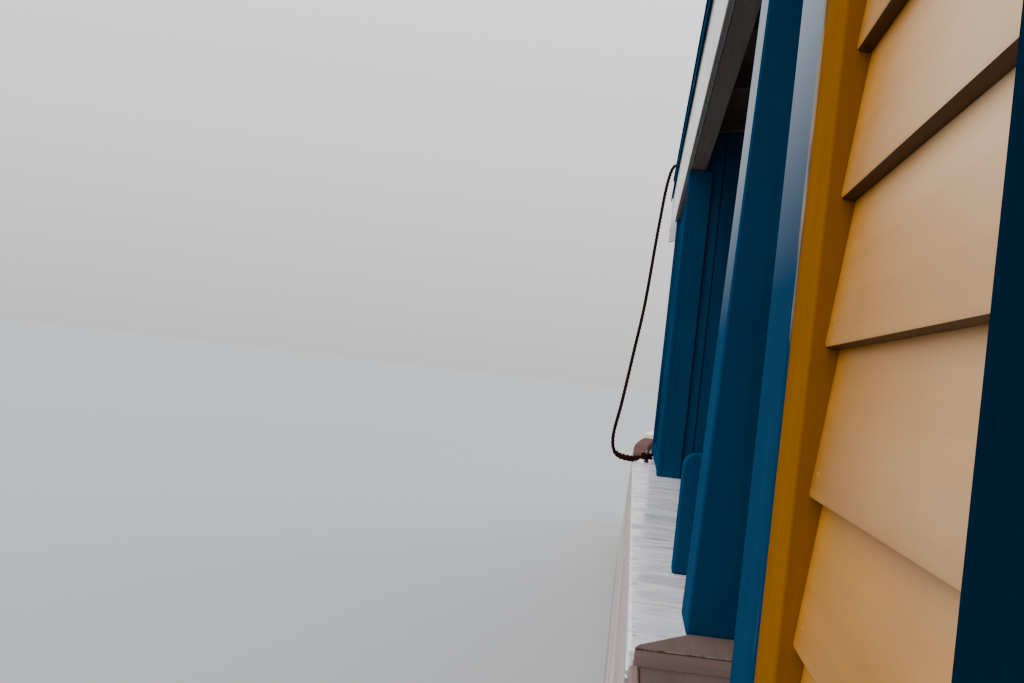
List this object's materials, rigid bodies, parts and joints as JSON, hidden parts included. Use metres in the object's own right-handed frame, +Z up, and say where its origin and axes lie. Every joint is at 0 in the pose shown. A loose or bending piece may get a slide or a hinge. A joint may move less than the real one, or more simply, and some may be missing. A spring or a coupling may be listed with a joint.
{
  "type": "canal boat",
  "caption": "Flat-bottomed wooden canal passenger boat with a clapboard cabin, open-sided seating under a long cambered roof, white ledges, a barn-door rudder and a mooring rope.",
  "frame": {"origin": "middle of the flat bottom, on its underside", "axes": "+X forward to the bow, +Y to port, +Z up"},
  "size_m": [25.0203, 4.2097, 3.036],
  "materials": {
    "navy": "glossy dark blue paint on timber",
    "white": "white paint, worn on the ledges",
    "ochre": "ochre yellow paint",
    "clapboard": "tan satin paint on lapped boards",
    "taupe": "worn brown paint",
    "hull": "pale weathered paint",
    "planks": "bare worn planks",
    "timber": "dark oiled timber",
    "iron": "black painted iron",
    "rope": "twisted natural fibre rope, dark with use"
  },
  "bodies": {
    "boat": {"bottom_planks": "planks", "hull_side_port": "hull", "hull_side_starboard": "hull", "bow_hull": "hull", "stern_hull": "hull", "bow_deck": "planks", "stern_deck": "planks", "bow_toe_rail": "taupe", "stern_toe_rail": "taupe", "bow_rail_cap": "white", "stern_rail_cap": "white", "stem_timber": "timber", "stern_post": "timber", "white_ledge_port": "white", "white_ledge_starboard": "white", "covering_board_port": "taupe", "covering_board_starboard": "taupe", "floor": "planks", "cabin_wall_port": "clapboard", "cabin_wall_starboard": "clapboard", "corner_board_fore_port": "ochre", "corner_board_fore_starboard": "ochre", "corner_board_aft_port": "ochre", "corner_board_aft_starboard": "ochre", "cabin_fore_bulkhead": "navy", "cabin_aft_bulkhead": "navy", "fore_cabin_wall_port": "navy", "fore_cabin_wall_starboard": "navy", "fore_cabin_aft_bulkhead": "navy", "fore_cabin_front_bulkhead": "navy", "post_entrance_aft_port": "navy", "post_entrance_aft_starboard": "navy", "post_entrance_fore_port": "navy", "post_entrance_fore_starboard": "navy", "eave_beam_port": "white", "eave_beam_starboard": "white", "roof": "navy", "roof_frame": "timber", "gable_fore": "white", "gable_aft": "white", "open_bench_port": "navy", "open_bench_starboard": "navy", "cabin_bench_port": "timber", "cabin_bench_starboard": "timber", "entry_steps_port": "planks", "entry_steps_starboard": "planks", "cleat_fore_port": "iron", "cleat_fore_starboard": "iron", "cleat_aft_port": "iron", "cleat_aft_starboard": "iron", "roof_cleat_port": "iron", "roof_cleat_starboard": "iron", "towing_bitt": "timber", "mooring_rope": "rope"},
    "steering": {"rudder": "timber", "tiller": "timber"},
    "fore_door": {"door_fore": "navy"},
    "aft_door": {"door_aft": "navy"}
  },
  "joints": [
    {"name": "rudder_hinge", "type": "hinge", "parent": "boat", "child": "steering", "pos_m": [-11.95, 0, 1], "axis": [0, 0, 1], "range_deg": [-35, 35]},
    {"name": "fore_door_hinge", "type": "hinge", "parent": "boat", "child": "fore_door", "pos_m": [7.84, 0.375, 1.9], "axis": [0, 0, 1], "range_deg": [0, 105]},
    {"name": "aft_door_hinge", "type": "hinge", "parent": "boat", "child": "aft_door", "pos_m": [-7.84, 0.375, 1.9], "axis": [0, 0, 1], "range_deg": [-105, 0]}
  ]
}
